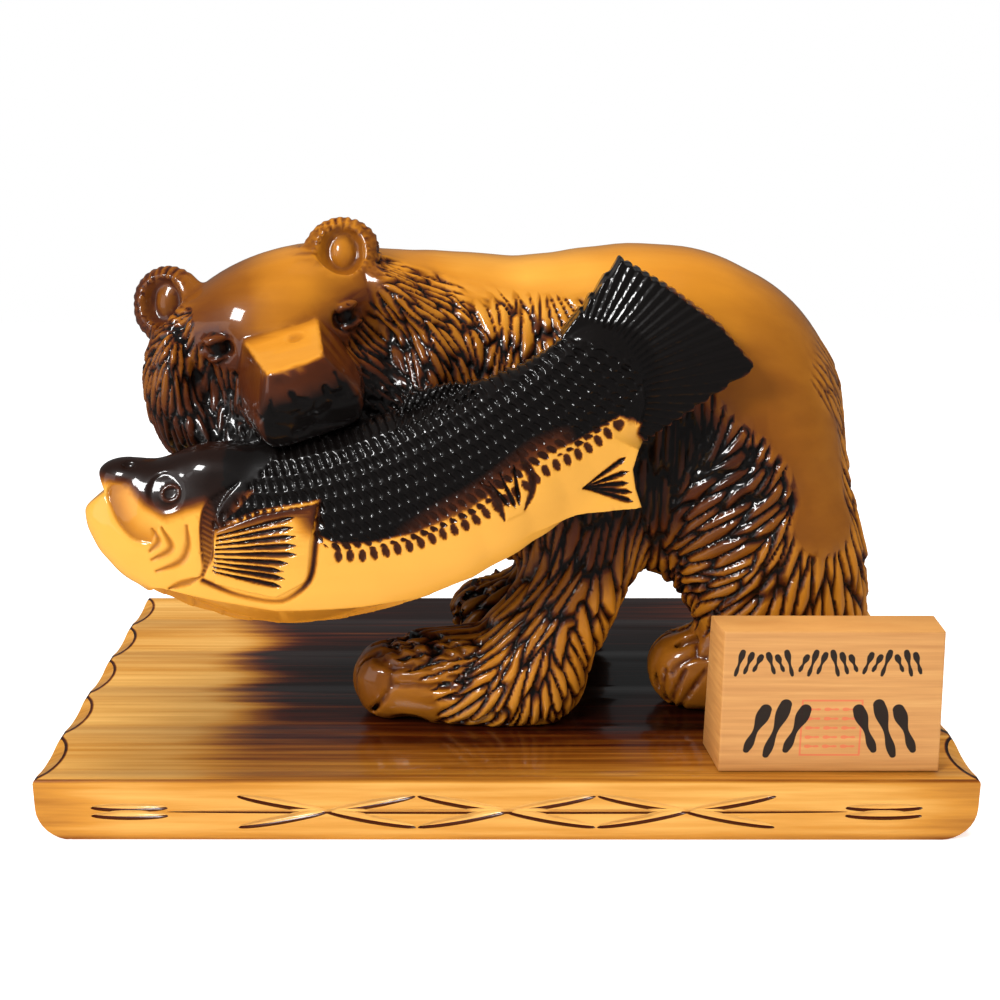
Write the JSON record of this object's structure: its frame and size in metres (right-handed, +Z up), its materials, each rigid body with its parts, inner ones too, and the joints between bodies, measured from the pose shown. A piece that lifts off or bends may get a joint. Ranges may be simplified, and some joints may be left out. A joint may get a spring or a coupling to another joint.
{
  "type": "carved wooden bear figure",
  "caption": "Carved wooden bear walking on a long board with a salmon held across its jaws, a small wedge-shaped name block beside it; a shelf ornament.",
  "frame": {"origin": "middle of the board's underside", "axes": "+X along the board towards the bear's rump, -Y towards the side the bear looks to, +Z up"},
  "size_m": [0.43, 0.235, 0.2731],
  "materials": {
    "stained_wood": "clear gloss lacquer over a stain that runs from amber to black",
    "board_wood": "scorched grain under clear lacquer",
    "block_wood": "plain satin wood"
  },
  "bodies": {
    "root": {"bear_with_salmon": "stained_wood", "plinth_board": "board_wood", "name_block": "block_wood"}
  },
  "joints": []
}
